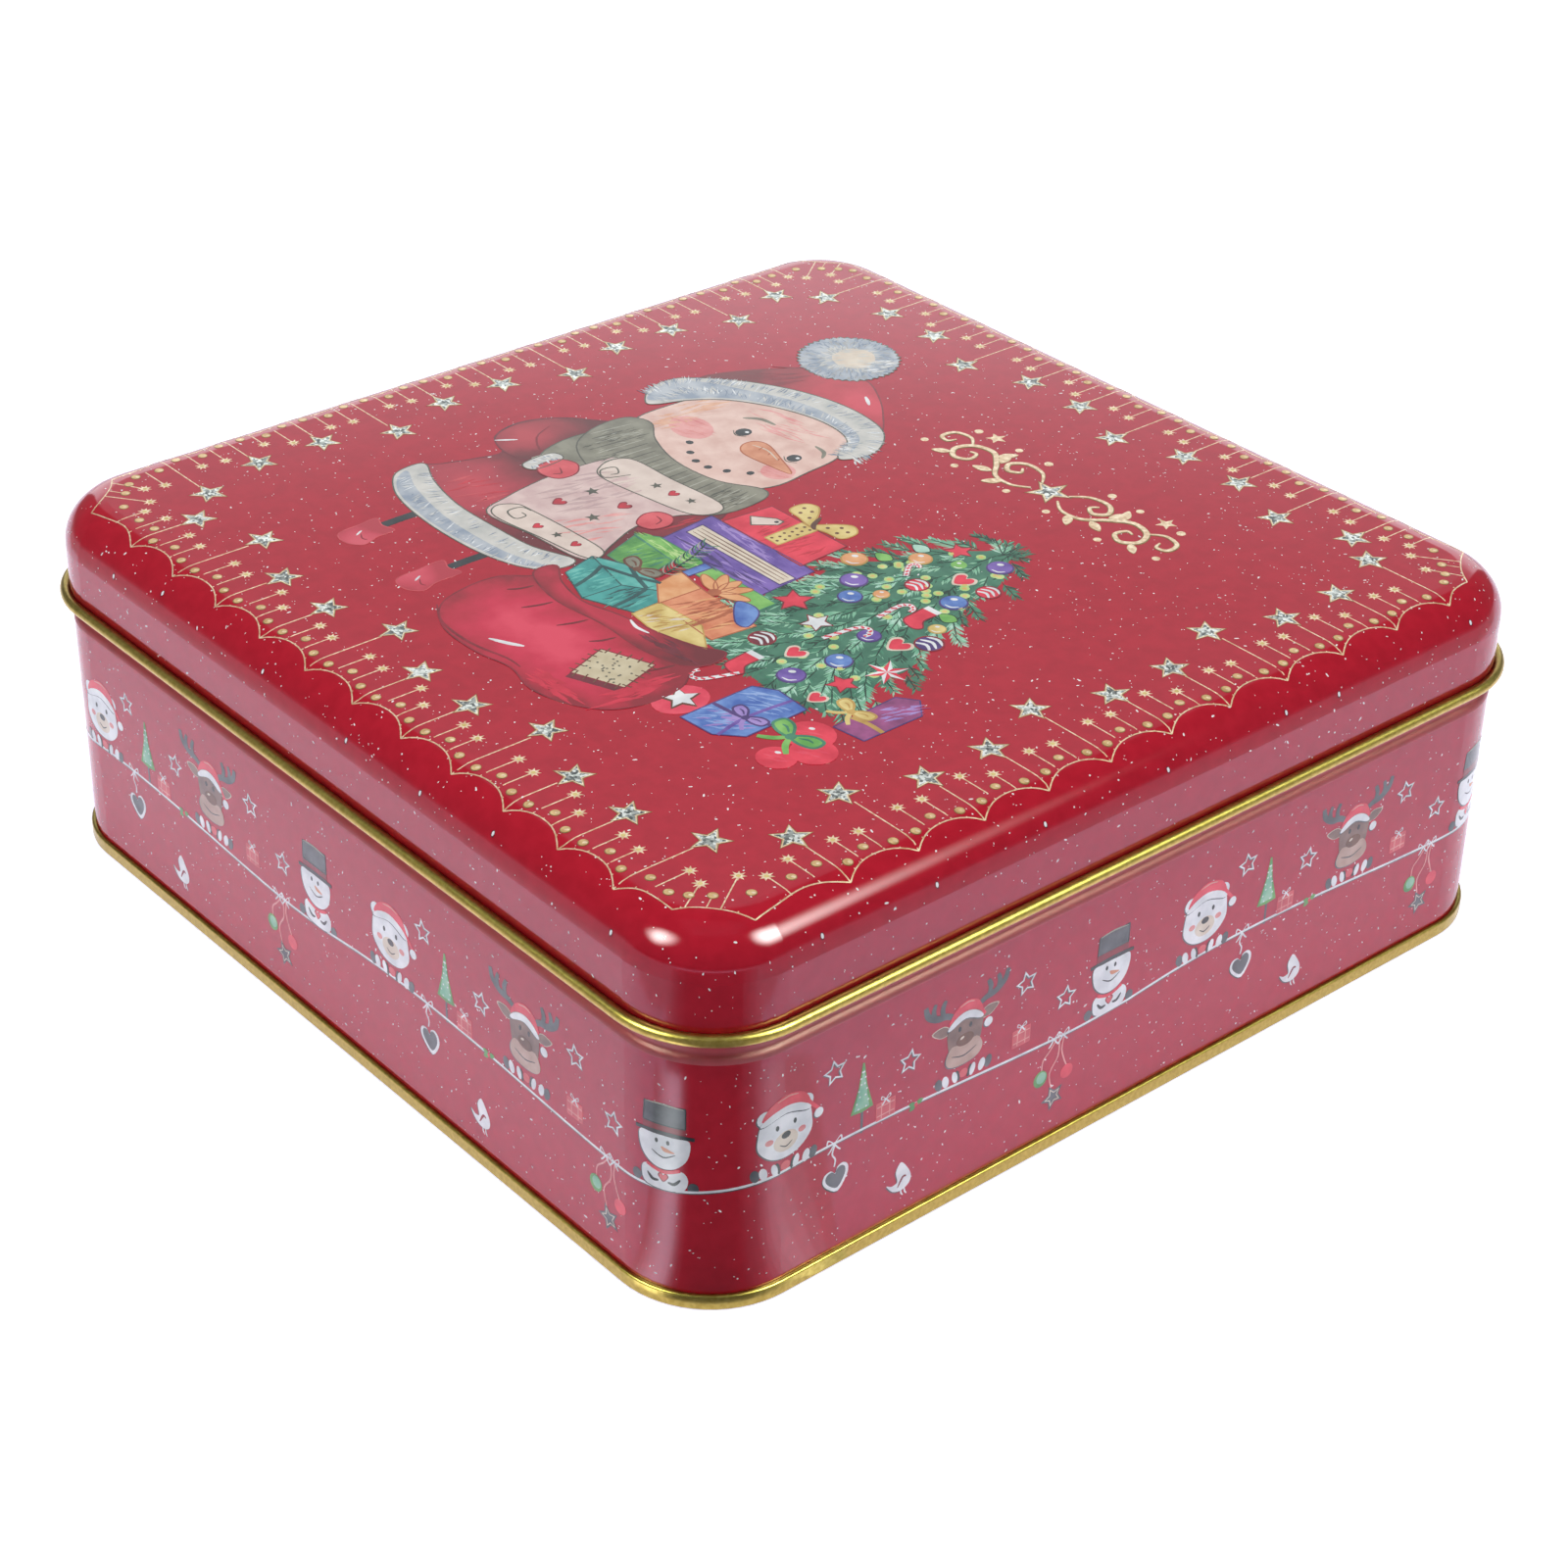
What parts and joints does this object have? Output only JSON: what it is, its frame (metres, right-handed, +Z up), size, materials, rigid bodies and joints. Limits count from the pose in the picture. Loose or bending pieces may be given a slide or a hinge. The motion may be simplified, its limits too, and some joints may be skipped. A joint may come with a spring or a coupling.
{
  "type": "cookie tin",
  "caption": "Square tinplate cookie tin with rounded corners, a seamed bottom, and a lift-off lid with a rounded shoulder and a rolled gold edge.",
  "frame": {"origin": "middle of the base, on the table surface, at the centre of the tin's square outline", "axes": "+Z up out of the lid's top, -Y out of the front wall, which the lid's picture stands upright towards, +X out of the right wall"},
  "size_m": [0.2042, 0.2042, 0.0728],
  "materials": {
    "lid_print": "glossy crimson print outside, satin gold lacquer inside and on the rolled edge",
    "body_print": "glossy crimson print outside, satin gold lacquer inside",
    "gold_lacquer": "satin gold lacquer on tinplate, both sides"
  },
  "bodies": {
    "tin_body": {"body_wall": "body_print", "bottom_panel": "gold_lacquer"},
    "lid": {"lid_shell": "lid_print"}
  },
  "joints": [
    {"name": "lid_lift", "type": "slide", "parent": "tin_body", "child": "lid", "axis": [0, 0, 1], "range_m": [0, 0.1]}
  ]
}
